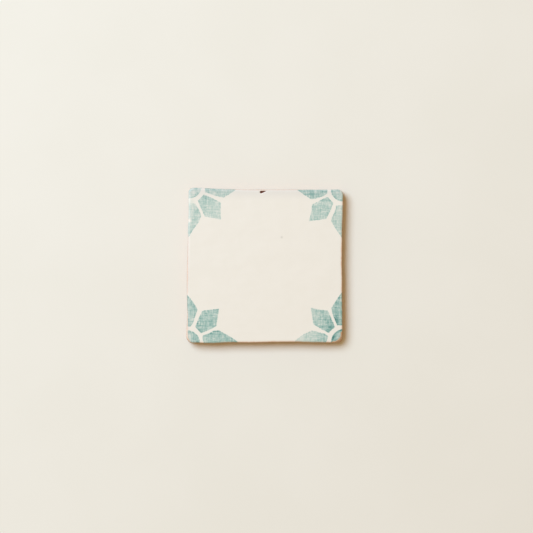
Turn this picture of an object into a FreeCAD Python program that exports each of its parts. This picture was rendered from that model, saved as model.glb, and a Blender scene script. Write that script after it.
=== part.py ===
# Handmade glazed tile: one square piece of fired terracotta, glazed on its face.
# The outline wanders as a hand-cut slab does, the cut sides lean out towards the back,
# the arris round the face is pillowed, and the back is flat. +Z is the glazed face.
import FreeCAD, Part
import math
import os

from FreeCAD import Vector

# Driving dimensions in millimetres
NOMINAL_SIDE = 130.0
THICKNESS = 10.0
SIDE_LEAN = 0.35        # how far the cut sides come in, from the back up to the arris

# The pillowed arris is a quarter of a superellipse: wide and shallow, tight at its outer end
ARRIS_WIDTH = 2.4
ARRIS_DROP = 0.9
ARRIS_EXPONENT = 2.5
ARRIS_SECTIONS = 7

# The back edge is only softly broken, in two narrow flats
BACK_EDGE_RADIUS = 0.9
BACK_EDGE_SECTIONS = 3

# Corner radii at the foot and at the top of the cut sides, before the outline moves in. One corner
# is worn away towards the face.
CORNER_RADIUS = {
    "front_left": (5.4, 6.2),
    "front_right": (4.0, 8.4),
    "back_right": (4.6, 4.9),
    "back_left": (3.8, 4.4),
}

# The sides as the outline is walked, anticlockwise from above, each with the corner before it
SIDES = ("front", "right", "back", "left")
CORNERS = ("front_left", "front_right", "back_right", "back_left")
OUTWARD = {
    "front": Vector(0, -1, 0),
    "right": Vector(1, 0, 0),
    "back": Vector(0, 1, 0),
    "left": Vector(-1, 0, 0),
}

# How far each side stands outside (+) or inside (-) the nominal square, at even steps along it,
# from left to right or from front to back
SIDE_WANDER = {
    "front": (-0.45, -0.05, -0.65, -0.60, -0.80, -1.05, -1.05, -0.65, -0.60),
    "right": (-0.10, -0.05, -0.20, -0.20, -0.40, -0.30, -0.15, 0.30, 0.35),
    "back": (0.55, -0.15, -0.50, -1.00, -1.00, -0.95, -0.95, -1.10, -0.95),
    "left": (1.05, 0.40, 0.50, 0.60, 0.35, -0.10, -0.40, -0.85, -0.80),
}

# Drop-shaped pit near the back edge: a round end, and a tail that runs to the right and turns back
PIT_CENTRE = (-3.3, 61.65)
PIT_RADIUS = 1.05
PIT_TAIL = 4.8
PIT_TURN = 12.0         # degrees
PIT_DEPTH = 0.9
PIT_FLOOR_SHARE = 0.5   # size of its floor beside its size at the face


def evenly(start, end, count):
    return [start + (end - start) * step / (count - 1) for step in range(count)]


def corner_radius(name, inset, height):
    """Corners change evenly up the cut sides, and tighten as the outline moves in."""
    foot, top = CORNER_RADIUS[name]
    side_height = THICKNESS - ARRIS_DROP - BACK_EDGE_RADIUS
    climbed = min(max((height - BACK_EDGE_RADIUS) / side_height, 0), 1)
    return foot + (top - foot) * climbed - inset


def side_distances(side, inset):
    """How far out each station of a side is, in the order that the outline is walked."""
    distances = [NOMINAL_SIDE / 2 + wander - inset for wander in SIDE_WANDER[side]]
    return distances[::-1] if side in ("back", "left") else distances


def side_points(index, inset, height):
    """Stations of one side, from the end of the corner before it to the start of the next one."""
    side = SIDES[index]
    next_side = SIDES[(index + 1) % 4]
    distances = side_distances(side, inset)
    start_radius = corner_radius(CORNERS[index], inset, height)
    end_radius = corner_radius(CORNERS[(index + 1) % 4], inset, height)
    first = -side_distances(SIDES[index - 1], inset)[-1] + start_radius
    last = side_distances(next_side, inset)[0] - end_radius
    along = evenly(first, last, len(distances))
    foot = Vector(0, 0, height)
    return [foot + OUTWARD[next_side] * step + OUTWARD[side] * out for step, out in zip(along, distances)]


def side_edge(points, direction):
    """A wandering side as one smooth curve that leaves and ends in line with its direction."""
    curve = Part.BSplineCurve()
    stations = evenly(0, 1, len(points))
    curve.interpolate(
        Points=points, Parameters=stations, InitialTangent=direction, FinalTangent=direction
    )
    return curve.toShape()


def corner_edge(start, end, centre, radius):
    """A quarter-round corner from the end of one side to the start of the next."""
    outward = (start + end) / 2 - centre
    middle = centre + outward.normalize() * radius
    return Part.Arc(start, middle, end).toShape()


def outline(inset, height):
    """Closed outline of the tile at one height, moved in from its widest outline."""
    sides = [side_points(index, inset, height) for index in range(4)]
    edges = []
    for index, points in enumerate(sides):
        next_index = (index + 1) % 4
        radius = corner_radius(CORNERS[next_index], inset, height)
        centre = points[-1] - OUTWARD[SIDES[index]] * radius
        edges.append(side_edge(points, OUTWARD[SIDES[next_index]]))
        edges.append(corner_edge(points[-1], sides[next_index][0], centre, radius))
    return Part.Wire(edges)


def arris_sections():
    """Outlines up the pillowed arris, from the top of the cut sides to the flat of the face."""
    power = 2 / ARRIS_EXPONENT
    sections = []
    for angle in evenly(0, math.pi / 2, ARRIS_SECTIONS):
        inset = SIDE_LEAN + ARRIS_WIDTH * (1 - abs(math.cos(angle)) ** power)
        height = THICKNESS - ARRIS_DROP * (1 - math.sin(angle) ** power)
        sections.append(outline(inset, height))
    return sections


def back_edge_sections():
    """Outlines down the softly broken edge of the back, from the widest outline to the back face."""
    sections = []
    for angle in evenly(0, math.pi / 2, BACK_EDGE_SECTIONS):
        inset = BACK_EDGE_RADIUS * (1 - math.cos(angle))
        height = BACK_EDGE_RADIUS * (1 - math.sin(angle))
        sections.append(outline(inset, height))
    return sections


def clay_body():
    """The slab: broken back edge, leaning cut sides and pillowed arris, joined in one piece."""
    arris = arris_sections()
    back_edge = back_edge_sections()
    pillow = Part.makeLoft(arris, True)
    sides = Part.makeLoft([back_edge[0], arris[0]], True, True)
    base = Part.makeLoft(back_edge, True, True)
    return pillow.fuse(sides).fuse(base).removeSplitter()


def pit_outline(share, height):
    """The drop in plan at one height, as a share of its size at the face."""
    radius = PIT_RADIUS * share
    tail = PIT_TAIL * share
    lean = math.asin(radius / tail)
    shoulder = Vector(radius * math.sin(lean), radius * math.cos(lean), 0)
    far_shoulder = Vector(shoulder.x, -shoulder.y, 0)
    rear = Vector(-radius, 0, 0)
    tip = Vector(tail, 0, 0)
    wire = Part.Wire([
        Part.Arc(shoulder, rear, far_shoulder).toShape(),
        Part.makeLine(far_shoulder, tip),
        Part.makeLine(tip, shoulder),
    ])
    wire.rotate(Vector(0, 0, 0), Vector(0, 0, 1), PIT_TURN)
    wire.translate(Vector(PIT_CENTRE[0], PIT_CENTRE[1], height))
    return wire


def glaze_pit():
    """The pit's negative: steep walls that lean out from its floor and go on above the face."""
    floor = pit_outline(PIT_FLOOR_SHARE, THICKNESS - PIT_DEPTH)
    above = pit_outline(2 - PIT_FLOOR_SHARE, THICKNESS + PIT_DEPTH)
    return Part.makeLoft([floor, above], True, True)


def glazed_tile():
    """The finished tile, with the middle of its outline's box on the Z axis and its back at zero."""
    tile = clay_body().cut(glaze_pit()).Solids[0]
    middle = tile.optimalBoundingBox(False, False).Center
    tile.translate(Vector(-middle.x, -middle.y, 0))
    return tile


os.makedirs("parts", exist_ok=True)
tile = glazed_tile()
tile.exportStep("parts/tile.step")
size = tile.optimalBoundingBox(False, False)
print("tile", round(size.XLength, 2), round(size.YLength, 2), round(size.ZLength, 2))
print("valid", tile.isValid(), "volume", round(tile.Volume), "faces", len(tile.Faces))
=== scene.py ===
import math

import bmesh
import bpy
import numpy as np
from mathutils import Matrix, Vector, noise


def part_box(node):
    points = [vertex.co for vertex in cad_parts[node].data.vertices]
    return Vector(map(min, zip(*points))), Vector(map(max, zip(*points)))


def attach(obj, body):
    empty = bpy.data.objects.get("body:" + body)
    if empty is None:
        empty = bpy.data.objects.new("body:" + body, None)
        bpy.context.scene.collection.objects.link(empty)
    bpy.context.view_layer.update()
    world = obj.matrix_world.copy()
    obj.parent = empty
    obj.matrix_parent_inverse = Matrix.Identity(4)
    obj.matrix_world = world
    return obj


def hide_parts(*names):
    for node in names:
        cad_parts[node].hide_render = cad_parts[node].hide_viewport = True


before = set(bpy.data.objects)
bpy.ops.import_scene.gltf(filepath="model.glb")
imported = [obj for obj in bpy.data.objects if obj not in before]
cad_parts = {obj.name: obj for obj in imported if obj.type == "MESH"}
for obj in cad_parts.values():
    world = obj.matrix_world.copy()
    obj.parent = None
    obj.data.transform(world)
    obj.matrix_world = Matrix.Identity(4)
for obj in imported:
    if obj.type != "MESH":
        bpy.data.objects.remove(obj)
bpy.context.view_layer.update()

MM = 0.001

# The tile's form: the same driving sizes as its construction
HALF_SIDE = 65.0
THICKNESS = (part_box("tile")[1].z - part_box("tile")[0].z) / MM
SIDE_LEAN = 0.35
ARRIS_WIDTH = 2.4
ARRIS_DROP = 0.9
ARRIS_EXPONENT = 2.5
BACK_EDGE_RADIUS = 0.9
CORNER_RADIUS = {           # at the foot and at the top of the cut sides
    "front_left": (5.4, 6.2),
    "front_right": (4.0, 8.4),
    "back_right": (4.6, 4.9),
    "back_left": (3.8, 4.4),
}
SIDE_WANDER = {
    "front": (-0.45, -0.05, -0.65, -0.60, -0.80, -1.05, -1.05, -0.65, -0.60),
    "right": (-0.10, -0.05, -0.20, -0.20, -0.40, -0.30, -0.15, 0.30, 0.35),
    "back": (0.55, -0.15, -0.50, -1.00, -1.00, -0.95, -0.95, -1.10, -0.95),
    "left": (1.05, 0.40, 0.50, 0.60, 0.35, -0.10, -0.40, -0.85, -0.80),
}

# Mesh density
SIDE_STEPS = 200            # steps along each side, corners included
RING_STEPS = 4 * SIDE_STEPS
BACK_SIDE_STEPS = SIDE_STEPS // 2
CORNER_STEPS = 10           # of which this many lie on each half corner
SECTION_STEPS = 28          # steps from the flat of the face down to the back
BACK_INSET = 1.8            # where the back's coarser net starts
PIT_CUTS = 3                # cuts of each edge in the finer net round the pit
ARRIS_SAMPLES = 400         # places at which the section's two curves are measured
BACK_EDGE_SAMPLES = 60

# Width of bare clay that shows from above outside the glaze, at even steps along each side.
# Where it is less than the lean of the sides, the glaze has run a little way down them.
BARE_STRIP = {
    "front": (0.60, 0.42, 0.46, 0.50, 0.52, 0.52, 0.52, 0.46, 0.42),
    "right": (0.40, 0.38, 0.46, 0.50, 0.56, 0.50, 0.42, 0.42, 0.26),
    "back": (0.30, 0.32, 0.36, 0.45, 0.50, 0.50, 0.36, 0.30, 0.30),
    "left": (1.60, 1.10, 0.45, 0.95, 0.85, 0.45, 0.32, 0.30, 0.30),
}

# How far the clay of the arris is painted pale on each side as painted light: full on the lit back and
# left sides, none on the shaded right. Then the heights beside the arris's lower end between which the
# paleness starts
LIT_SIDE_PALENESS = {"front": 0.15, "right": 0.0, "back": 1.0, "left": 1.0}
LIT_PALENESS_START = (-0.5, 0.1)

# Worn corners, where the glaze ends in a round: its centre in from both sides, and its radius
GLAZE_ROUNDS = {
    "front_left": (9.5, 8.0, 9.2),
    "front_right": (9.6, 9.75, 7.95),
}
WORN_FROM = 6.0             # their clay is worn pale, fully from this height up
WORN_FADE = (1.0, 0.6)      # shares of the centre's distances at which the wear starts and is full

# Distances in from the back side at which a greyer band starts and is full
BACK_BAND = (12.0, 0.5)

# Relief
GLAZE_WAVE = 0.03           # height of the glaze's slow waves
WAVE_LAYERS = ((34.0, 1.0, 5), (9.0, 0.35, 6))     # wavelength, share of the height, seed
WAVE_COUNT = 9              # waves in a layer, and the shares of its wavelength that they have
WAVE_SPREAD = (0.7, 1.6)
GLAZE_WOBBLE = 0.30         # how far the glaze's end wanders
WOBBLE_RATE = 0.35
WOBBLE_SEED = 7.0
CLAY_RECESS = 0.10          # step from the glaze down to bare clay
GLAZE_STEP = (-0.45, 0.25)  # distances in from the glaze's end between which the step lies
CLAY_GRAIN = 0.16           # depth of the clay's grain
GRAIN_RATE = (0.9, 0.9, 1.1)
GRAIN_SHARE = 0.5
DRAG_RATE = (0.12, 0.12, 0.9)
DRAG_OFFSET = (0.0, 0.0, 31.0)
DRAG_SHARE = 0.35
GRAIN_MIDDLE = 0.5
DEEPEST_GRAIN = 1.4
FLAT_TOLERANCE = 0.01       # below the face, within which a point is on its flat

# Drop-shaped pit near the back edge: a round end, and a tail that runs to the right and turns back
PIT_CENTRE = (-3.25, 61.5)
PIT_RADIUS = 1.05
PIT_TAIL = 4.8
PIT_TURN = 12.0             # degrees
PIT_RIM = 0.9               # width and drop of the soft rim round it
PIT_RIM_DROP = 0.22
PIT_WINDOW = (-5.5, 60.0, 3.2, 63.4)    # left, front, right, back of the finer net round it

# The painted corners. Points are (along the front or back side, along the left or right side),
# measured in from the corner of the nominal square. Each shape has its paint strength near the
# corner and far from it, and its fade is how far in from the glaze's end the paint is thin. Pools
# are places with more paint, or with less where their third value is negative.
CORNER_ART = {
    "back_left": {
        "disc": {"centre": (1.8, -1.7), "radius": 10.4, "strength": (0.55, 0.45), "fade": 0.2},
        "petals": [
            {"points": [(9.0, 10.4), (14.0, 5.6), (19.8, 7.9), (28.1, 12.3), (28.0, 26.4), (14.8, 23.8),
                        (11.1, 16.0)],
             "strength": (0.80, 0.55), "fade": 0.0},
            {"points": [(15.0, -2.9), (14.8, 3.4), (24.8, 6.9), (30.4, 8.1), (35.6, 5.1), (40.4, 1.5),
                        (44.2, -2.9)],
             "strength": (0.72, 0.60), "fade": 0.0},
            {"points": [(-2.2, 12.8), (6.8, 13.1), (10.2, 18.6), (11.7, 23.3), (9.8, 28.4), (5.2, 34.5),
                        (2.1, 39.5), (-2.2, 45.5)],
             "strength": (0.48, 0.62), "fade": 0.2},
        ],
        "pools": [
            (15.1, 8.8, 0.5), (26.3, 4.8, 0.4), (22.8, 4.7, -0.5), (17.5, 0.6, 0.7), (22.0, 0.4, 0.7),
            # The pool at (2.0, 27.2) takes paint away to leave a white spot on the left arris: a painted
            # highlight
            (7.5, 0.4, 0.5), (9.0, 4.5, 0.6), (2.0, 27.2, -0.8), (7.0, 7.2, 0.5), (5.3, 3.8, -0.4),
            (8.0, 19.2, 0.9), (5.6, 26.0, 0.4), (15.8, 17.0, 0.9), (22.0, 21.3, 0.5), (24.6, 13.2, -0.35),
        ],
    },
    "back_right": {
        "disc": {"centre": (0.0, 1.2), "radius": 10.1, "strength": (0.60, 0.85), "fade": 0.2},
        "petals": [
            {"points": [(12.8, 7.6), (8.1, 12.7), (11.2, 20.4), (14.2, 25.9), (28.4, 27.6),
                        (26.4, 19.4), (25.8, 14.1), (18.6, 9.9)],
             "strength": (0.85, 0.75), "fade": 0.0},
            {"points": [(13.0, -1.8), (13.2, 4.5), (16.0, 6.7), (23.5, 9.1), (27.1, 9.2), (33.5, 4.9),
                        (38.5, 1.4), (42.2, -1.8)],
             "strength": (0.80, 1.10), "fade": 0.0},
            {"points": [(-3.0, 14.5), (5.6, 14.6), (6.6, 19.0), (9.4, 25.0), (9.8, 28.0), (7.0, 32.7),
                        (3.4, 38.2), (-2.0, 45.6)],
             "strength": (0.60, 0.68), "fade": 0.2},
        ],
        "pools": [
            (25.3, 5.2, 0.8), (23.0, 3.0, -0.6), (28.0, 5.6, 0.6), (16.5, 3.2, 0.4), (4.0, 0.7, 1.0),
            (8.6, 6.6, 0.6), (5.3, 3.6, -0.5), (7.8, 22.6, 0.6), (7.2, 28.0, 0.6), (3.6, 18.4, -0.4),
            (2.2, 36.3, -0.4), (20.0, 18.8, 0.7), (10.5, 14.7, -0.5),
        ],
    },
    "front_left": {
        "disc": {"centre": (-0.2, 0.5), "radius": 10.9, "strength": (0.90, 1.05), "fade": 0.1},
        "petals": [
            {"points": [(11.5, 8.9), (6.9, 14.1), (9.5, 21.1), (12.7, 27.6), (26.6, 29.2),
                        (24.6, 16.6), (24.2, 14.5), (18.0, 11.4)],
             "strength": (1.20, 1.00), "fade": 0.0},
            {"points": [(15.1, -2.8), (13.0, 4.0), (13.0, 7.0), (18.3, 8.6), (22.0, 11.1), (26.6, 11.2),
                        (35.5, 6.2), (41.2, 2.7), (45.9, -2.8)],
             "strength": (1.05, 1.15), "fade": 0.5},
            {"points": [(-3.4, 14.8), (2.6, 14.4), (5.2, 17.6), (6.7, 23.0), (8.7, 28.4), (7.3, 31.2),
                        (2.9, 37.7), (-1.9, 42.6)],
             "strength": (0.85, 1.05), "fade": 0.2},
        ],
        "pools": [
            (8.8, 1.6, 0.9), (8.0, 17.4, 0.6), (10.5, 11.1, 0.6), (20.1, 8.8, 0.5), (1.9, 7.6, -0.7),
            (2.4, 5.0, -0.6), (5.6, 2.8, 0.9), (6.2, 9.5, 0.5), (4.5, 20.3, -0.6), (15.3, 2.4, -0.5),
            (15.3, 24.6, 0.9), (22.0, 24.5, 0.6), (2.6, 30.4, -0.6), (9.4, 3.4, -0.4),
        ],
    },
    "front_right": {
        "disc": {"centre": (-0.8, 1.6), "radius": 10.7, "strength": (1.20, 1.55), "fade": 0.2},
        "petals": [
            {"points": [(11.9, 9.2), (9.6, 11.7), (6.7, 13.9), (9.9, 21.3), (12.7, 27.8), (19.1, 28.4),
                        (26.9, 30.0), (24.6, 16.1), (17.4, 12.0)],
             "strength": (1.45, 0.60), "fade": 0.0},
            {"points": [(15.3, -2.3), (12.4, 6.3), (15.2, 8.4), (20.6, 9.8), (25.9, 11.1), (32.0, 8.4),
                        (35.0, 6.8), (39.5, 3.0), (42.5, -2.3)],
             "strength": (1.10, 0.45), "fade": 0.4},
            {"points": [(-2.9, 15.6), (4.9, 15.6), (6.6, 19.4), (9.0, 25.7), (9.8, 29.7), (4.2, 38.6),
                        (-0.9, 45.2)],
             "strength": (1.45, 1.15), "fade": 0.4},
        ],
        "pools": [
            (6.2, 21.5, 2.2), (5.5, 18.9, 1.0), (8.3, 5.8, 2.0), (14.6, 21.0, 0.9), (10.3, 14.0, 0.9),
            (12.4, 11.4, 0.2), (6.4, 33.7, 0.5), (3.2, 38.4, 0.5), (17.2, 27.0, 0.9), (22.2, 26.2, 0.7),
            (19.0, 22.0, 0.4), (15.5, 12.8, -0.4), (2.8, 17.8, -0.7), (2.8, 23.0, -0.6), (13.0, 17.8, 0.4),
            (27.2, 6.4, -0.3), (19.7, 3.2, 0.5), (2.8, 8.8, -0.9), (23.0, 8.0, -0.35), (12.0, 23.9, -0.5),
        ],
    },
}

PETAL_REACH = (14.0, 36.0)  # distances from the corner at which a petal's two strengths hold
DISC_START = 2.0            # and at which a disc's first one does
POOL_RADIUS = 1.5
THIN_PAINT_START = -0.2     # distance in from the glaze's end, and share of paint that is left there
THIN_PAINT_SHARE = 0.25
LEAST_FADE = 0.1            # least distance in at which the paint is full
FAR_OUTSIDE = -50.0         # a distance from the paint beyond any that matters

# Crossed threads of the cloth that the paint was dragged on with: offset of the pattern, its rates
# along and across a thread for each millimetre, and its strength
PAINT_THREADS = (
    (3.0, 0.07, 0.85, 1.65),
    (23.0, 0.30, 1.10, 1.45),
    (43.0, 0.50, 2.60, 0.9),
)
CROSS_OFFSET = 8.0          # further offset of the threads that run across
PATCH_GAIN = 1.3            # strength of the paint's broad patches
THINNEST_PAINT = 0.12       # least density between the threads
RAGGED_PAINT = 1.5          # how ragged the paint's outline is, and where it sets in from it
PAINT_COVER = (-0.35, 0.40)
PAINT_RIM = (0.15, 1.5)     # where its pooled rim is full and where it ends
RIM_SPOTS = 0.55            # how much more paint the rim's darkest spots hold

# Finish colours, as sRGB
GLAZE_COLOUR = (237, 230, 218)
GLAZE_SHADE_COLOUR = (234, 227, 214)
BACK_BAND_COLOUR = (226, 220, 211)
THIN_GLAZE_COLOUR = (220, 182, 154)     # along the glaze's end
THIN_WORN_AND_LIT_COLOUR = (224, 208, 197)      # and where the clay under it is worn, and as painted light on the lit sides
CLAY_COLOUR = (204, 156, 108)
CLAY_DARK_COLOUR = (188, 139, 94)
WORN_CLAY_COLOUR = (205, 174, 145)      # at the worn corners
LIT_RIM_CLAY_COLOUR = (236, 209, 190)       # on the arris of the lit sides, painted pale: painted light
CLAY_GRIT_COLOUR = (228, 204, 182)
CLAY_SPECK_COLOUR = (112, 74, 56)
# The pit's dark raw clay, with painted shade of the hollow that deepens to the middle colour
PIT_CLAY_AND_SHADE_COLOUR = (98, 44, 14)
PIT_RIM_COLOUR = (110, 52, 20)
FLOOR_COLOUR = (235, 230, 219)
FLOOR_SHADE_COLOUR = (232, 227, 215)

# What the paint at strength one lets through, linear
PAINT_TINT = (0.477, 0.680, 0.680)

# The thin line along the glaze's end: where it is full and where it ends, its strength, and the
# share of it that is left at the worn corners
THIN_LINE = (0.1, 1.6)
THIN_LINE_STRENGTH = 0.85
THIN_LINE_WORN = 0.3

# Distances in from the glaze's end and from the pit's rim over which glaze and raw clay set in, how
# ragged the glaze's end is, and where the pit's painted shade deepens towards its middle and is full
GLAZE_COVER = (-0.12, 0.18)
PIT_COVER = (-0.10, 0.12)
RAGGED_GLAZE = 0.7
PIT_SHADE_SPAN = (0.05, 0.6)

# Surfaces: least and greatest roughness, and the height of the ripples and the grit
GLAZE_ROUGHNESS = (0.42, 0.50)
GLAZE_IOR = 1.5
GLAZE_COAT = 0.15
GLAZE_COAT_ROUGHNESS = 0.30
GLAZE_RIPPLE = 0.035
CLAY_ROUGHNESS = (0.80, 0.95)
CLAY_GRIT = 0.22
FLOOR_ROUGHNESS = 0.9
FLOOR_SPECULAR = 0.2
NOISE_SPAN = (0.3, 0.7)     # noise values at which the roughness is least and greatest

# Marks in the glaze: a grey speck, a haze by the back left corner, brown stains above the pit, a darker
# spot below it and a painted highlight below that. Each has its place, reach, strength and colour.
GLAZE_MARKS = (
    (14.2, 23.6, 1.6, 0.30, (150, 146, 138)),
    (-61.8, 52.6, 5.0, 0.45, (206, 218, 204)),
    (-2.8, 62.7, 1.4, 0.35, (214, 160, 112)),
    (-0.8, 62.6, 1.5, 0.45, (206, 152, 108)),
    # darker below the pit
    (-1.6, 61.0, 1.3, 0.60, (120, 92, 80)),
    # painted highlight below the pit
    (-2.5, 60.2, 1.3, 0.80, (255, 246, 238)),
)

FLOOR_HALF_SIDE = 3000.0
FLOOR_GAP = 0.05            # from the floor up to the back of the tile

# The baked map's two islands, as shares of its side, and the room left round each in millimetres
BAKE_MARGIN = 0.01
SKIRT_SHARE = 0.60
BACK_SHARE = 0.36
BAKE_ROOM = 1.0

# The photograph: its width in pixels, the tile's scale, and the nominal square's centre in it
PHOTO_PIXELS = 533
PIXELS_PER_MM = 1.2
TILE_CENTRE_PIXEL = (265.1, 265.9)
CAMERA_HEIGHT = 2000.0      # above the face
CAMERA_REACH = 100.0        # metres
SENSOR_WIDTH = 36.0

# Light: one broad key, and a warm room
KEY_TILT = 38.2             # degrees from overhead
KEY_BEARING = 139.5         # degrees from +X, towards the upper left of the picture
KEY_DISTANCE = 3600.0
KEY_RADIUS = 1200.0
KEY_POWER = 150.0
KEY_COLOUR = (0.656, 0.822, 1.016)
WORLD_COLOUR = (1.00, 0.725, 0.395)
WORLD_STRENGTH = 0.474


def srgb(colour):
    """Linear colour with alpha from sRGB values of 0 to 255."""
    linear = []
    for value in colour:
        part = value / 255
        linear.append(part / 12.92 if part <= 0.04045 else ((part + 0.055) / 1.055) ** 2.4)
    return (*linear, 1.0)


def smoothstep(low, high, value):
    """Rises smoothly from 0 at low to 1 at high, which may be the lower of the two."""
    part = np.clip((value - low) / (high - low), 0, 1)
    return part * part * (3 - 2 * part)


# Outline and section


SIDES = ("front", "right", "back", "left")
CORNERS = ("front_left", "front_right", "back_right", "back_left")
OUTWARD = {"front": (0, -1), "right": (1, 0), "back": (0, 1), "left": (-1, 0)}


def in_walking_order(side, values):
    """Side values are listed left to right or front to back; the outline is walked anticlockwise."""
    ordered = np.array(values, float)
    return ordered[::-1] if side in ("back", "left") else ordered


def smooth_line(values, places):
    """Clamped cubic curve through evenly spaced values, read at places from 0 to 1."""
    count = len(values)
    system = np.eye(count)
    right_side = np.zeros(count)
    for row in range(1, count - 1):
        system[row, row - 1:row + 2] = (1, 4, 1)
        right_side[row] = 3 * (values[row + 1] - values[row - 1])
    slopes = np.linalg.solve(system, right_side)
    scaled = np.asarray(places) * (count - 1)
    start = np.minimum(scaled.astype(int), count - 2)
    t = scaled - start
    return (
        values[start] * (1 + 2 * t) * (1 - t) ** 2
        + slopes[start] * t * (1 - t) ** 2
        + values[start + 1] * t * t * (3 - 2 * t)
        + slopes[start + 1] * t * t * (t - 1)
    )


def corner_radius(name, inset, height):
    """Corners change evenly up the cut sides, and tighten as the outline moves in."""
    foot, top = CORNER_RADIUS[name]
    side_height = THICKNESS - ARRIS_DROP - BACK_EDGE_RADIUS
    climbed = min(max((height - BACK_EDGE_RADIUS) / side_height, 0), 1)
    return foot + (top - foot) * climbed - inset


def side_distances(side, inset):
    """How far out each station of a side is, in walking order."""
    return HALF_SIDE + in_walking_order(side, SIDE_WANDER[side]) - inset


def outline_ring(inset, height):
    """Points round the tile at one inset and height, from the middle of the front left corner."""
    return np.concatenate([side_points(index, inset, height) for index in range(4)])


def side_points(index, inset, height):
    """Points of one side, from the middle of the corner before it to that of the next one."""
    side = SIDES[index]
    next_side = SIDES[(index + 1) % 4]
    distances = side_distances(side, inset)
    before = side_distances(SIDES[index - 1], inset)[-1]
    after = side_distances(next_side, inset)[0]
    start_radius = corner_radius(CORNERS[index], inset, height)
    end_radius = corner_radius(CORNERS[(index + 1) % 4], inset, height)

    turn = np.linspace(math.pi / 4, 0, CORNER_STEPS, endpoint=False)
    start_along = -before + start_radius * (1 - np.sin(turn))
    start_out = distances[0] - start_radius * (1 - np.cos(turn))

    straight = np.linspace(0, 1, SIDE_STEPS - 2 * CORNER_STEPS, endpoint=False)
    straight_start = -before + start_radius
    straight_along = straight_start + straight * (after - end_radius - straight_start)
    straight_out = smooth_line(distances, straight)

    turn = np.linspace(0, math.pi / 4, CORNER_STEPS, endpoint=False)
    end_along = after - end_radius * (1 - np.sin(turn))
    end_out = distances[-1] - end_radius * (1 - np.cos(turn))

    along = np.concatenate([start_along, straight_along, end_along])
    out = np.concatenate([start_out, straight_out, end_out])
    return along[:, None] * np.array(OUTWARD[next_side]) + out[:, None] * np.array(OUTWARD[side])


def section_path():
    """Even steps down the section: inset, height and distance from the flat of the face."""
    power = 2 / ARRIS_EXPONENT
    turn = np.linspace(math.pi / 2, 0, ARRIS_SAMPLES)
    arris_inset = SIDE_LEAN + ARRIS_WIDTH * (1 - np.abs(np.cos(turn)) ** power)
    arris_height = THICKNESS - ARRIS_DROP * (1 - np.sin(turn) ** power)
    turn = np.linspace(0, math.pi / 2, BACK_EDGE_SAMPLES)
    back_inset = BACK_EDGE_RADIUS * (1 - np.cos(turn))
    back_height = BACK_EDGE_RADIUS * (1 - np.sin(turn))
    inset = np.concatenate([arris_inset, back_inset])
    height = np.concatenate([arris_height, back_height])
    length = np.concatenate([[0], np.cumsum(np.hypot(np.diff(inset), np.diff(height)))])
    even = np.linspace(0, length[-1], SECTION_STEPS + 1)
    return np.interp(even, length, inset), np.interp(even, length, height), even


def patch(ring, steps):
    """Net of points inside a closed ring of four equal sides, blended from its sides."""
    closed = np.concatenate([ring, ring[:1]])
    front = closed[:steps + 1, None]
    right = closed[steps:2 * steps + 1][None]
    back = closed[2 * steps:3 * steps + 1][::-1, None]
    left = closed[3 * steps:][::-1][None]
    u = np.linspace(0, 1, steps + 1)[:, None, None]
    v = np.linspace(0, 1, steps + 1)[None, :, None]
    corners = (
        (1 - u) * (1 - v) * front[0] + u * (1 - v) * front[-1]
        + (1 - u) * v * back[0] + u * v * back[-1]
    )
    return (1 - v) * front + v * back + (1 - u) * left + u * right - corners


def net_numbers(ring_start, steps, inside_start):
    """Vertex numbers of a patch: its rim is a ring that exists, and its inside is new."""
    numbers = np.zeros((steps + 1, steps + 1), int)
    inside = np.arange((steps - 1) ** 2).reshape(steps - 1, steps - 1)
    numbers[1:-1, 1:-1] = inside_start + inside
    around = ring_start + np.arange(4 * steps + 1) % (4 * steps)
    numbers[:, 0] = around[:steps + 1]
    numbers[-1, :] = around[steps:2 * steps + 1]
    numbers[::-1, -1] = around[2 * steps:3 * steps + 1]
    numbers[0, ::-1] = around[3 * steps:]
    return numbers


def net_faces(numbers):
    """Four-sided faces of a net, seen from above."""
    return np.stack(
        [numbers[:-1, :-1], numbers[1:, :-1], numbers[1:, 1:], numbers[:-1, 1:]], axis=-1
    ).reshape(-1, 4)


def ring_faces(upper, lower):
    """Four-sided faces between two rings, seen from outside."""
    return np.stack([upper, lower, np.roll(lower, -1), np.roll(upper, -1)], axis=-1)


def halving_faces(outer, inner):
    """Three triangles for each inner step, from a ring to one with half its points, seen from below."""
    next_inner = np.roll(inner, -1)
    first, middle, last = outer[::2], outer[1::2], np.roll(outer[::2], -1)
    triangles = [(first, inner, middle), (middle, inner, next_inner), (middle, next_inner, last)]
    return np.concatenate([np.stack(corners, axis=-1) for corners in triangles])


# Where the glaze ends, and what is painted


def glaze_stop(inset, length):
    """Distance down the section at which the glaze ends, for each point round the tile."""
    widths = []
    places = np.arange(SIDE_STEPS) / SIDE_STEPS
    for side in SIDES:
        widths.append(smooth_line(in_walking_order(side, BARE_STRIP[side]), places))
    widths = np.concatenate(widths)
    falling = length < length[np.argmin(inset)]
    stop = np.interp(widths, inset[falling][::-1], length[falling][::-1])
    wobble = [glaze_wobble(x, y) for x, y in outline_ring(SIDE_LEAN, THICKNESS)]
    return stop + GLAZE_WOBBLE * np.array(wobble)


def glaze_wobble(x, y):
    """How far the glaze's end wanders at a place of the outline, from about -1 to 1."""
    place = Vector((x * WOBBLE_RATE, y * WOBBLE_RATE, WOBBLE_SEED))
    roughness, spacing, layers = 0.8, 2.0, 4
    return noise.fractal(place, roughness, spacing, layers)


def lit_paleness_round():
    """How far the arris is painted pale as painted light at each point round the tile, blended over the
    corners.
    """
    reach = CORNER_STEPS
    sides = np.repeat([LIT_SIDE_PALENESS[side] for side in SIDES], SIDE_STEPS)
    wrapped = np.concatenate([sides[-reach:], sides, sides[:reach]])
    return np.convolve(wrapped, np.full(2 * reach + 1, 1 / (2 * reach + 1)), "valid")


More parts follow.
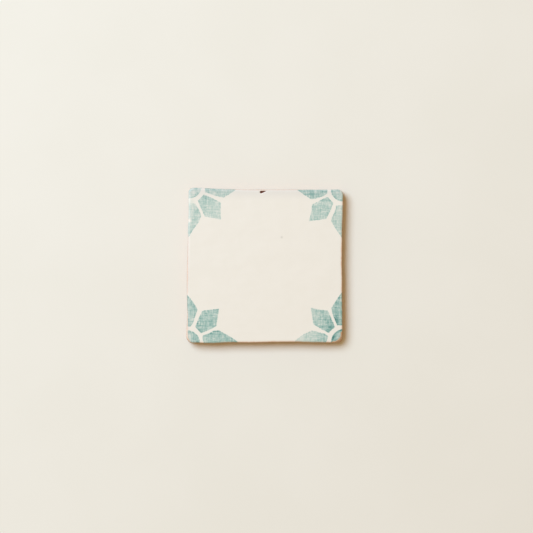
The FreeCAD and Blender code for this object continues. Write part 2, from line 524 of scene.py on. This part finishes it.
def from_corner(corner, x, y):
    """Distances in from the two nominal sides that meet at a corner."""
    u = HALF_SIDE + (x if corner.endswith("left") else -x)
    v = HALF_SIDE + (y if corner.startswith("front") else -y)
    return u, v


def worn_clay(x, y, z):
    """How far the clay is worn pale: at the worn corners, and less towards their foot."""
    worn = np.zeros(x.shape)
    for corner, (centre_u, centre_v, _) in GLAZE_ROUNDS.items():
        u, v = from_corner(corner, x, y)
        past = np.maximum(u / centre_u, v / centre_v)
        worn = np.maximum(worn, smoothstep(*WORN_FADE, past))
    return worn * smoothstep(0, WORN_FROM, z)


def keep_back_at_corners(x, y, glaze_edge):
    """Takes the glaze off the worn corners, outside their rounds."""
    for corner, (centre_u, centre_v, radius) in GLAZE_ROUNDS.items():
        u, v = from_corner(corner, x, y)
        round_edge = radius - np.hypot(u - centre_u, v - centre_v)
        in_corner = (u < centre_u) & (v < centre_v)
        glaze_edge = np.where(in_corner, np.minimum(glaze_edge, round_edge), glaze_edge)
    return glaze_edge


def distance_to_polygon(x, y, points):
    """Signed distance to a closed outline, positive inside it."""
    nearest = np.full(x.shape, np.inf)
    inside = np.zeros(x.shape, bool)
    for (ax, ay), (bx, by) in zip(points, points[1:] + points[:1]):
        t = ((x - ax) * (bx - ax) + (y - ay) * (by - ay)) / ((bx - ax) ** 2 + (by - ay) ** 2)
        t = np.clip(t, 0, 1)
        nearest = np.minimum(nearest, np.hypot(x - ax - t * (bx - ax), y - ay - t * (by - ay)))
        crosses = (ay > y) != (by > y)
        with np.errstate(divide="ignore", invalid="ignore"):
            crossing = ax + (y - ay) * (bx - ax) / (by - ay)
        inside ^= crosses & (x < crossing)
    return np.where(inside, nearest, -nearest)


def corner_shapes(art, u, v):
    """The disc and petals, each with how far in from its outline and how far out along it a point is."""
    disc = art["disc"]
    disc_edge = disc["radius"] - np.hypot(u - disc["centre"][0], v - disc["centre"][1])
    across_disc = smoothstep(DISC_START, disc["radius"], np.hypot(u, v))
    along_petal = smoothstep(*PETAL_REACH, np.hypot(u, v))
    shapes = [(disc_edge, across_disc, disc)]
    for petal in art["petals"]:
        shapes.append((distance_to_polygon(u, v, petal["points"]), along_petal, petal))
    return shapes


def painted_corners(x, y, glaze_edge):
    """Signed distance in from the paint's outline, and the paint's strength, at each point."""
    edge = np.full(x.shape, FAR_OUTSIDE)
    strength = np.zeros(x.shape)
    for corner, art in CORNER_ART.items():
        u, v = from_corner(corner, x, y)
        pools = sum(
            depth * np.exp(-((u - pool_u) ** 2 + (v - pool_v) ** 2) / POOL_RADIUS ** 2)
            for pool_u, pool_v, depth in art["pools"]
        )
        for shape_edge, along, shape in corner_shapes(art, u, v):
            near, far = shape["strength"]
            full = smoothstep(THIN_PAINT_START, max(shape["fade"], LEAST_FADE), glaze_edge)
            share = THIN_PAINT_SHARE + (1 - THIN_PAINT_SHARE) * full
            shape_strength = (near + (far - near) * along + pools) * share
            strength = np.where(shape_edge > edge, np.maximum(shape_strength, 0), strength)
            edge = np.maximum(edge, shape_edge)
    return edge, strength


# The mesh


def tile_mesh():
    """One closed net: a square patch for the face, rings down to the back, and a coarser back."""
    inset, height, length = section_path()
    rings = [outline_ring(*place) for place in zip(inset, height)]
    face_net = patch(rings[0], SIDE_STEPS)[1:-1, 1:-1].reshape(-1, 2)
    back_ring = outline_ring(BACK_INSET, 0)[::2]
    back_net = patch(back_ring, BACK_SIDE_STEPS)[1:-1, 1:-1].reshape(-1, 2)
    back = np.concatenate([back_ring, back_net])
    plan = np.concatenate([*rings, face_net, back])
    z = np.concatenate([
        np.repeat(height, RING_STEPS),
        np.full(len(face_net), THICKNESS),
        np.zeros(len(back)),
    ])
    face_side, back_side = tile_faces(len(rings), len(face_net))

    mesh = bpy.data.meshes.new("tile_finish")
    mesh.from_pydata(np.column_stack([plan, z]).tolist(), [], face_side + back_side)
    stop = glaze_stop(inset, length)
    glaze_edge = keep_back_at_corners(*plan.T, distance_from_stop(stop, length, face_net, len(back)))
    mark_surface(mesh, plan, z, glaze_edge)
    mark_lit_paleness(mesh, height)
    skirt = np.concatenate([unfolded_rings(rings[0], length), face_net, back])
    add_bake_map(mesh, skirt, plan, len(face_side))
    return mesh


def tile_faces(ring_count, face_net_count):
    """Faces of the face and the sides, and those of the back, by the numbers of their points."""
    face_start = ring_count * RING_STEPS
    back_ring_start = face_start + face_net_count
    back_ring = back_ring_start + np.arange(4 * BACK_SIDE_STEPS)
    back_start = back_ring_start + len(back_ring)
    rings = np.arange(face_start).reshape(ring_count, RING_STEPS)

    face = net_faces(net_numbers(0, SIDE_STEPS, face_start))
    sides = np.concatenate([ring_faces(upper, lower) for upper, lower in zip(rings, rings[1:])])
    joining = halving_faces(rings[-1], back_ring)
    back = net_faces(net_numbers(back_ring_start, BACK_SIDE_STEPS, back_start))[:, ::-1]
    return [*face.tolist(), *sides.tolist()], [*joining.tolist(), *back.tolist()]


def distance_from_stop(stop, length, face_net, back_count):
    """Distance in from the glaze's end, before its corners are rounded, at each point of the net."""
    ring_edge = (stop[None, :] - length[:, None]).ravel()
    face_rim = HALF_SIDE - SIDE_LEAN - ARRIS_WIDTH
    face_edge = np.mean(stop) + np.maximum(face_rim - np.abs(face_net).max(axis=1), 0)
    back_edge = np.full(back_count, -length[-1])
    return np.concatenate([ring_edge, face_edge, back_edge])


def mark_surface(mesh, plan, z, glaze_edge):
    """Stores where the glaze and the paint end, how worn the clay is, and the greyer band along the back,
    at each point.
    """
    x, y = plan.T
    paint_edge, paint_strength = painted_corners(x, y, glaze_edge)
    add_attribute(mesh, "glaze_edge", glaze_edge)
    add_attribute(mesh, "paint_edge", paint_edge)
    add_attribute(mesh, "paint_strength", paint_strength)
    add_attribute(mesh, "worn", worn_clay(x, y, z))
    add_attribute(mesh, "back_band", smoothstep(*BACK_BAND, HALF_SIDE - y))


def mark_lit_paleness(mesh, height):
    """Stores how far the arris is painted pale as painted light. The rings are the first points of the
    net.
    """
    arris_foot = THICKNESS - ARRIS_DROP
    on_arris = smoothstep(arris_foot + LIT_PALENESS_START[0], arris_foot + LIT_PALENESS_START[1], height)
    lit_paleness = np.zeros(len(mesh.vertices))
    lit_paleness[:len(height) * RING_STEPS] = (on_arris[:, None] * lit_paleness_round()[None, :]).ravel()
    add_attribute(mesh, "lit_paleness", lit_paleness)


def add_attribute(mesh, name, values):
    """Stores one value at each point of the mesh, for the materials."""
    attribute = mesh.attributes.new(name, "FLOAT", "POINT")
    attribute.data.foreach_set("value", np.asarray(values, np.float32))


def read_places(mesh):
    places = np.zeros(len(mesh.vertices) * 3)
    mesh.vertices.foreach_get("co", places)
    return places.reshape(-1, 3)


def read_attribute(mesh, name):
    values = np.zeros(len(mesh.vertices), np.float32)
    mesh.attributes[name].data.foreach_get("value", values)
    return values


def unfolded_rings(rim, length):
    """The rings laid flat round the face, each as far out as it is down the section."""
    tangent = np.roll(rim, -1, axis=0) - np.roll(rim, 1, axis=0)
    outward = np.column_stack([tangent[:, 1], -tangent[:, 0]])
    outward /= np.linalg.norm(outward, axis=1)[:, None]
    return np.concatenate([rim + outward * value for value in length])


def add_bake_map(mesh, skirt, plan, face_side_count):
    """Texture map in two islands: the face with its sides laid flat, and beside it the back."""
    reach = np.abs(skirt).max() + BAKE_ROOM
    skirt_map = BAKE_MARGIN + (skirt / reach + 1) / 2 * SKIRT_SHARE
    back_map = (plan / (HALF_SIDE + BAKE_ROOM) + 1) / 2 * BACK_SHARE
    back_map += (SKIRT_SHARE + 2 * BAKE_MARGIN, BAKE_MARGIN)
    loop_vertex = np.zeros(len(mesh.loops), int)
    mesh.loops.foreach_get("vertex_index", loop_vertex)
    first_back_loop = mesh.polygons[face_side_count].loop_start
    on_face_side = np.arange(len(loop_vertex)) < first_back_loop
    values = np.where(on_face_side[:, None], skirt_map[loop_vertex], back_map[loop_vertex])
    layer = mesh.uv_layers.new(name="OFBake")
    layer.data.foreach_set("uv", values.astype(np.float32).ravel())


def finer_round_pit(mesh):
    """Cuts the net finer inside the window round the pit."""
    left, front, right, back = PIT_WINDOW
    net = bmesh.new()
    net.from_mesh(mesh)
    edges = set()
    for face in net.faces:
        middle = face.calc_center_median()
        if left < middle.x < right and front < middle.y < back and middle.z > THICKNESS / 2:
            edges.update(face.edges)
    bmesh.ops.subdivide_edges(net, edges=list(edges), cuts=PIT_CUTS, use_grid_fill=True)
    net.to_mesh(mesh)
    net.free()


def wave_layer(x, y, wavelength, seed):
    """Gentle random undulation of unit height."""
    draw = np.random.default_rng(seed)
    total = np.zeros(x.shape)
    for _ in range(WAVE_COUNT):
        bearing, phase = draw.uniform(0, 2 * math.pi, 2)
        rate = 2 * math.pi / (wavelength * draw.uniform(*WAVE_SPREAD))
        total += np.sin(rate * (x * math.cos(bearing) + y * math.sin(bearing)) + phase)
    return total / math.sqrt(WAVE_COUNT)


def slow_waves(x, y):
    """The slow waves of the glaze, of about unit height: a broad layer and a finer one."""
    return sum(share * wave_layer(x, y, wavelength, seed) for wavelength, share, seed in WAVE_LAYERS)


def clay_grain(places):
    """Depth of the bare clay at each place, from 0 to about 1: grain, and drags along the cut sides."""
    roughness, spacing, layers = 0.7, 2.1, 4
    values = []
    for place in places:
        grain = noise.fractal(Vector(place * GRAIN_RATE), roughness, spacing, layers)
        drag = noise.noise(Vector(place * DRAG_RATE + DRAG_OFFSET))
        values.append(GRAIN_MIDDLE + GRAIN_SHARE * grain + DRAG_SHARE * drag)
    return np.clip(values, 0, DEEPEST_GRAIN)


def pit_depth(x, y):
    """Depth of the pit below the face, and signed distance in from its rim."""
    turn = math.radians(PIT_TURN)
    a = (x - PIT_CENTRE[0]) * math.cos(turn) + (y - PIT_CENTRE[1]) * math.sin(turn)
    b = np.abs((y - PIT_CENTRE[1]) * math.cos(turn) - (x - PIT_CENTRE[0]) * math.sin(turn))
    lean = math.asin(PIT_RADIUS / PIT_TAIL)
    shoulder = PIT_RADIUS * math.sin(lean)
    round_width = np.sqrt(np.maximum(PIT_RADIUS ** 2 - a * a, 0))
    tail_width = np.maximum((PIT_TAIL - a) * math.tan(lean), 0)
    width = np.where(a < shoulder, round_width, tail_width)
    depth = np.sqrt(np.maximum(width ** 2 - b * b, 0))
    round_edge = PIT_RADIUS - np.hypot(a, b)
    tail_edge = (PIT_TAIL - a) * math.sin(lean) - b * math.cos(lean)
    edge = np.where(a < shoulder, round_edge, tail_edge)
    return depth + PIT_RIM_DROP * smoothstep(-PIT_RIM, 0, edge), edge


def relief_depth(place, glaze_edge):
    """Depth of the glaze's waves, of the step down to bare clay and of its grain, at each point."""
    waves = slow_waves(place[:, 0], place[:, 1])
    on_face = place[:, 2] > THICKNESS - FLAT_TOLERANCE
    glaze_depth = GLAZE_WAVE * (waves[on_face].max() - waves)
    bare = 1 - smoothstep(*GLAZE_STEP, glaze_edge)
    clay_depth = np.zeros(len(place))
    on_clay = bare > 0
    clay_depth[on_clay] = CLAY_RECESS + CLAY_GRAIN * clay_grain(place[on_clay])
    return np.maximum(glaze_depth * (1 - bare), 0) + clay_depth * bare


def add_relief(mesh):
    """Moves the surface in by its relief, sinks the pit, and stores the distance in from its rim."""
    place = read_places(mesh)
    normal = np.zeros(place.size, np.float32)
    mesh.vertex_normals.foreach_get("vector", normal)
    normal = normal.reshape(-1, 3).astype(float)
    depth = relief_depth(place, read_attribute(mesh, "glaze_edge"))
    moved = place - normal * depth[:, None]

    hollow, pit_edge = pit_depth(place[:, 0], place[:, 1])
    near_pit = place[:, 2] > THICKNESS / 2
    floor = THICKNESS - hollow
    moved[:, 2] = np.where(near_pit & (hollow > 0), np.minimum(moved[:, 2], floor), moved[:, 2])
    moved[:, 2] = np.maximum(moved[:, 2], 0)
    add_attribute(mesh, "pit_edge", np.where(near_pit, pit_edge, -PIT_TAIL))
    mesh.vertices.foreach_set("co", moved.ravel())


def make_tile():
    """The dressed tile, centred like the construction and sized in metres."""
    mesh = tile_mesh()
    finer_round_pit(mesh)
    add_relief(mesh)
    mesh.polygons.foreach_set("use_smooth", [True] * len(mesh.polygons))
    places = read_places(mesh) - (*outline_middle(), 0)
    mesh.vertices.foreach_set("co", (places * MM).ravel())
    mesh.update()
    tile = bpy.data.objects.new("dressed_tile", mesh)
    bpy.context.scene.collection.objects.link(tile)
    return tile


def outline_middle():
    """Middle of the box of the widest outline, which the tile's frame is centred on."""
    ring = outline_ring(0, BACK_EDGE_RADIUS)
    return (ring.min(axis=0) + ring.max(axis=0)) / 2


# Finishes


# Places of the sockets of a mix node
MIX_FACTOR = 0
MIX_FIRST_COLOUR = 6
MIX_SECOND_COLOUR = 7
MIX_RESULT_COLOUR = 2


class Finish:
    """One node material, with short calls for the nodes that it uses. Places are in millimetres."""

    def __init__(self, name):
        self.material = bpy.data.materials.new(name)
        self.material.use_nodes = True
        self.tree = self.material.node_tree
        self.surface = self.tree.nodes["Principled BSDF"]
        scale = self.node("ShaderNodeVectorMath", operation="SCALE")
        scale.inputs["Scale"].default_value = 1 / MM
        self.tree.links.new(self.node("ShaderNodeTexCoord").outputs["Object"], scale.inputs[0])
        self.place = scale.outputs[0]

    def node(self, kind, **settings):
        made = self.tree.nodes.new(kind)
        for name, value in settings.items():
            setattr(made, name, value)
        return made

    def feed(self, socket, value):
        if isinstance(value, bpy.types.NodeSocket):
            self.tree.links.new(value, socket)
        else:
            socket.default_value = value

    def math(self, operation, *values):
        made = self.node("ShaderNodeMath", operation=operation)
        for socket, value in zip(made.inputs, values):
            self.feed(socket, value)
        return made.outputs[0]

    def attribute(self, name):
        return self.node("ShaderNodeAttribute", attribute_name=name).outputs["Fac"]

    def noise(self, rate, offset=0.0, detail=2.0, roughness=0.5):
        """Noise of about rate features a millimetre, where rate is one number or one for each axis."""
        stretch = self.node("ShaderNodeMapping")
        self.feed(stretch.inputs["Vector"], self.place)
        stretch.inputs["Scale"].default_value = rate if isinstance(rate, tuple) else (rate, rate, rate)
        stretch.inputs["Location"].default_value = (offset, offset, offset)
        made = self.node("ShaderNodeTexNoise")
        self.feed(made.inputs["Vector"], stretch.outputs[0])
        made.inputs["Scale"].default_value = 1.0
        made.inputs["Detail"].default_value = detail
        made.inputs["Roughness"].default_value = roughness
        return made.outputs[0]

    def blend(self, share, first, second):
        """A share of the first value and the rest of the second."""
        rest = self.math("SUBTRACT", 1.0, share)
        return self.math("ADD", self.math("MULTIPLY", share, first), self.math("MULTIPLY", rest, second))

    def swing(self, value, gain):
        """A noise value turned into a swing about zero."""
        return self.math("MULTIPLY_ADD", value, gain, -0.5 * gain)

    def step(self, value, low, high, start=0.0, end=1.0):
        """A smooth step from start to end while a value goes from low to high."""
        made = self.node("ShaderNodeMapRange", interpolation_type="SMOOTHSTEP")
        parts = {"Value": value, "From Min": low, "From Max": high, "To Min": start, "To Max": end}
        for name, part in parts.items():
            self.feed(made.inputs[name], part)
        return made.outputs[0]

    def mix(self, factor, first, second, blend="MIX"):
        """Mixes two colours, through the sockets that the node has for colours."""
        made = self.node("ShaderNodeMix", data_type="RGBA", blend_type=blend)
        self.feed(made.inputs[MIX_FACTOR], factor)
        self.feed(made.inputs[MIX_FIRST_COLOUR], first)
        self.feed(made.inputs[MIX_SECOND_COLOUR], second)
        return made.outputs[MIX_RESULT_COLOUR]

    def near(self, x, y, reach):
        """One at a point of the face, falling to zero at its reach."""
        made = self.node("ShaderNodeVectorMath", operation="DISTANCE")
        self.feed(made.inputs[0], self.place)
        made.inputs[1].default_value = (x, y, THICKNESS)
        return self.step(made.outputs["Value"], 0.0, reach, start=1.0, end=0.0)


def dragged_paint(finish):
    """Density of paint that is dragged on with a coarse cloth: patches and crossed streaks."""
    texture = finish.swing(finish.noise((0.16, 0.16, 1.0), offset=5.0, detail=3.0), PATCH_GAIN)
    for offset, along, across, gain in PAINT_THREADS:
        one_way = finish.noise((along, across, 1.0), offset, roughness=0.6)
        texture = finish.math("ADD", texture, finish.swing(one_way, gain))
        other_way = finish.noise((across, along, 1.0), offset + CROSS_OFFSET, roughness=0.6)
        texture = finish.math("ADD", texture, finish.swing(other_way, gain))
    return finish.math("MAXIMUM", finish.math("ADD", texture, 1.0), THINNEST_PAINT)


def paint_density(finish):
    """Dragged paint inside its ragged outline, with darker spots where it pooled along the rim."""
    edge = finish.attribute("paint_edge")
    strength = finish.attribute("paint_strength")
    texture = dragged_paint(finish)
    rags = finish.noise((0.75, 0.75, 1.0), offset=17.0, detail=3.0, roughness=0.65)
    ragged_edge = finish.math("ADD", edge, finish.swing(rags, RAGGED_PAINT))
    cover = finish.step(ragged_edge, *PAINT_COVER)
    rim = finish.step(edge, *PAINT_RIM, start=1.0, end=0.0)
    spots = finish.noise((0.45, 0.45, 1.0), offset=41.0)
    rim_spots = finish.step(spots, low=0.42, high=0.62, end=RIM_SPOTS)
    pooled = finish.math("MULTIPLY_ADD", rim, rim_spots, 1.0)
    density = finish.math("MULTIPLY", finish.math("MULTIPLY", strength, texture), cover)
    return finish.math("MULTIPLY", density, pooled)


def plain_glaze(finish, glaze_edge):
    """Off-white glaze with faint clouds, greyer along the back side and pinker where it thins, paler there
    on the lit sides as painted light.
    """
    clouds = finish.noise(0.09, offset=2.0, detail=3.0, roughness=0.55)
    shade = finish.step(clouds, low=0.35, high=0.65, end=0.35)
    base = finish.mix(shade, srgb(GLAZE_COLOUR), srgb(GLAZE_SHADE_COLOUR))
    base = finish.mix(finish.attribute("back_band"), base, srgb(BACK_BAND_COLOUR))
    worn = finish.attribute("worn")
    thin_line = finish.step(glaze_edge, *THIN_LINE, start=THIN_LINE_STRENGTH, end=0.0)
    line_left = finish.math("MULTIPLY_ADD", worn, THIN_LINE_WORN - 1, 1.0)
    thin_line = finish.math("MULTIPLY", thin_line, line_left)
    # Paler thin glaze at the worn corners, and painted light on the arris of the lit sides
    worn_and_lit = finish.math("MAXIMUM", finish.attribute("lit_paleness"), worn)
    thin_colour = finish.mix(worn_and_lit, srgb(THIN_GLAZE_COLOUR), srgb(THIN_WORN_AND_LIT_COLOUR))
    return finish.mix(thin_line, base, thin_colour)


def painted_glaze(finish, glaze_edge):
    """The glaze with the paint that tints it, and with its small marks."""
    base = plain_glaze(finish, glaze_edge)
    density = paint_density(finish)
    through = finish.node("ShaderNodeCombineColor")
    for socket, tint in zip(through.inputs, PAINT_TINT):
        finish.feed(socket, finish.math("POWER", tint, density))
    painted = finish.mix(1.0, base, through.outputs[0], "MULTIPLY")
    for x, y, reach, depth, colour in GLAZE_MARKS:
        mark = finish.math("MULTIPLY", finish.near(x, y, reach), depth)
        painted = finish.mix(mark, painted, srgb(colour))
    return painted


def bare_clay(finish):
    """Fired terracotta: cloudy, paler where it is worn and, as painted light, on the arris of the lit
    sides, with pale grit and dark iron specks.
    """
    clouds = finish.noise(0.22, offset=9.0, detail=4.0, roughness=0.6)
    shade = finish.step(clouds, low=0.35, high=0.68)
    colour = finish.mix(shade, srgb(CLAY_COLOUR), srgb(CLAY_DARK_COLOUR))
    colour = finish.mix(finish.attribute("worn"), colour, srgb(WORN_CLAY_COLOUR))
    # Paler clay on the arris of the lit sides: painted light
    colour = finish.mix(finish.attribute("lit_paleness"), colour, srgb(LIT_RIM_CLAY_COLOUR))
    grit_noise = finish.noise(1.6, offset=13.0, roughness=0.6)
    grit = finish.step(grit_noise, low=0.60, high=0.72, end=0.7)
    colour = finish.mix(grit, colour, srgb(CLAY_GRIT_COLOUR))
    speck_noise = finish.noise(2.6, offset=19.0, detail=1.0)
    specks = finish.step(speck_noise, low=0.68, high=0.74, end=0.6)
    return finish.mix(specks, colour, srgb(CLAY_SPECK_COLOUR))


def tile_finish():
    """Satin glaze over the face, bare clay past its end, and raw dark clay in the pit, painted darker
    towards its middle as shade.
    """
    finish = Finish("glazed_terracotta")
    glaze_edge = finish.attribute("glaze_edge")
    pit_edge = finish.attribute("pit_edge")
    ragged = finish.swing(finish.noise(0.9, offset=29.0, detail=3.0, roughness=0.6), RAGGED_GLAZE)
    glazed = finish.step(finish.math("ADD", glaze_edge, ragged), *GLAZE_COVER)
    in_pit = finish.step(pit_edge, *PIT_COVER)
    covered = finish.math("MULTIPLY", glazed, finish.math("SUBTRACT", 1.0, in_pit))

    colour = finish.mix(glazed, bare_clay(finish), painted_glaze(finish, glaze_edge))
    # Painted shade in the pit's hollow, deepening towards its middle
    pit_shade = finish.step(pit_edge, *PIT_SHADE_SPAN)
    pit_clay_and_shade = finish.mix(pit_shade, srgb(PIT_RIM_COLOUR), srgb(PIT_CLAY_AND_SHADE_COLOUR))
    colour = finish.mix(in_pit, colour, pit_clay_and_shade)
    finish.feed(finish.surface.inputs["Base Color"], colour)

    glaze_rough = finish.step(finish.noise(0.5, offset=47.0), *NOISE_SPAN, *GLAZE_ROUGHNESS)
    clay_rough = finish.step(finish.noise(1.2, offset=53.0), *NOISE_SPAN, *CLAY_ROUGHNESS)
    finish.feed(finish.surface.inputs["Roughness"], finish.blend(covered, glaze_rough, clay_rough))
    finish.surface.inputs["IOR"].default_value = GLAZE_IOR
    finish.feed(finish.surface.inputs["Coat Weight"], finish.math("MULTIPLY", covered, GLAZE_COAT))
    finish.surface.inputs["Coat Roughness"].default_value = GLAZE_COAT_ROUGHNESS
    finish.feed(finish.surface.inputs["Normal"], tile_bump(finish, covered))
    return finish.material


def tile_bump(finish, covered):
    """Fine relief below the net's size: soft ripples in the glaze, grit in the clay."""
    ripples = finish.math("MULTIPLY", finish.noise(0.35, offset=59.0, detail=3.0), GLAZE_RIPPLE)
    grit = finish.math("MULTIPLY", finish.noise(2.2, offset=61.0, detail=5.0, roughness=0.7), CLAY_GRIT)
    bump = finish.node("ShaderNodeBump")
    bump.inputs["Strength"].default_value = 1.0
    bump.inputs["Distance"].default_value = MM
    finish.feed(bump.inputs["Height"], finish.blend(covered, ripples, grit))
    return bump.outputs["Normal"]


def floor_finish():
    """Plain pale floor with faint broad clouds."""
    finish = Finish("pale_floor")
    shade = finish.step(finish.noise(0.012, offset=4.0, detail=3.0), low=0.3, high=0.7, end=0.5)
    colour = finish.mix(shade, srgb(FLOOR_COLOUR), srgb(FLOOR_SHADE_COLOUR))
    finish.feed(finish.surface.inputs["Base Color"], colour)
    finish.surface.inputs["Roughness"].default_value = FLOOR_ROUGHNESS
    finish.surface.inputs["Specular IOR Level"].default_value = FLOOR_SPECULAR
    return finish.material


# Stage


def in_tile_frame(pixel):
    """A pixel of the photograph as a place on the face, in millimetres."""
    middle = outline_middle()
    x = (pixel[0] - TILE_CENTRE_PIXEL[0]) / PIXELS_PER_MM - middle[0]
    y = (TILE_CENTRE_PIXEL[1] - pixel[1]) / PIXELS_PER_MM - middle[1]
    return x, y


def make_floor():
    """A wide level floor just under the back, for the photograph only."""
    half = FLOOR_HALF_SIDE * MM
    mesh = bpy.data.meshes.new("floor")
    corners = [(-half, -half, 0), (half, -half, 0), (half, half, 0), (-half, half, 0)]
    mesh.from_pydata(corners, [], [(0, 1, 2, 3)])
    floor = bpy.data.objects.new("floor", mesh)
    floor.location.z = -FLOOR_GAP * MM
    bpy.context.scene.collection.objects.link(floor)
    floor.data.materials.append(floor_finish())


def make_key_light():
    """A broad round light that faces the tile from a tilt off overhead and a bearing from +X."""
    light = bpy.data.lights.new("key", "AREA")
    light.shape = "DISK"
    light.size = 2 * KEY_RADIUS * MM
    light.energy = KEY_POWER
    light.color = KEY_COLOUR
    tilt = math.radians(KEY_TILT)
    bearing = math.radians(KEY_BEARING)
    direction = Vector((
        math.sin(tilt) * math.cos(bearing),
        math.sin(tilt) * math.sin(bearing),
        math.cos(tilt),
    ))
    lamp = bpy.data.objects.new("key", light)
    lamp.location = direction * KEY_DISTANCE * MM
    lamp.rotation_euler = direction.to_track_quat("Z", "Y").to_euler()
    bpy.context.scene.collection.objects.link(lamp)


def make_world():
    """Even warm light from the whole room."""
    world = bpy.data.worlds.new("room")
    world.use_nodes = True
    background = world.node_tree.nodes["Background"]
    background.inputs["Color"].default_value = (*WORLD_COLOUR, 1.0)
    background.inputs["Strength"].default_value = WORLD_STRENGTH
    bpy.context.scene.world = world


def make_camera():
    """Straight overhead with a long lens, at the photograph's scale on the face of the tile."""
    x, y = in_tile_frame((PHOTO_PIXELS / 2, PHOTO_PIXELS / 2))
    camera = bpy.data.cameras.new("camera")
    camera.sensor_width = SENSOR_WIDTH
    camera.lens = SENSOR_WIDTH * CAMERA_HEIGHT / (PHOTO_PIXELS / PIXELS_PER_MM)
    camera.clip_end = CAMERA_REACH
    holder = bpy.data.objects.new("camera", camera)
    holder.location = Vector((x, y, THICKNESS + CAMERA_HEIGHT)) * MM
    bpy.context.scene.collection.objects.link(holder)
    bpy.context.scene.camera = holder


tile = make_tile()
tile.data.materials.append(tile_finish())
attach(tile, "root")
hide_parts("tile")

make_floor()
make_key_light()
make_world()
make_camera()
bpy.context.scene.view_settings.view_transform = "Standard"
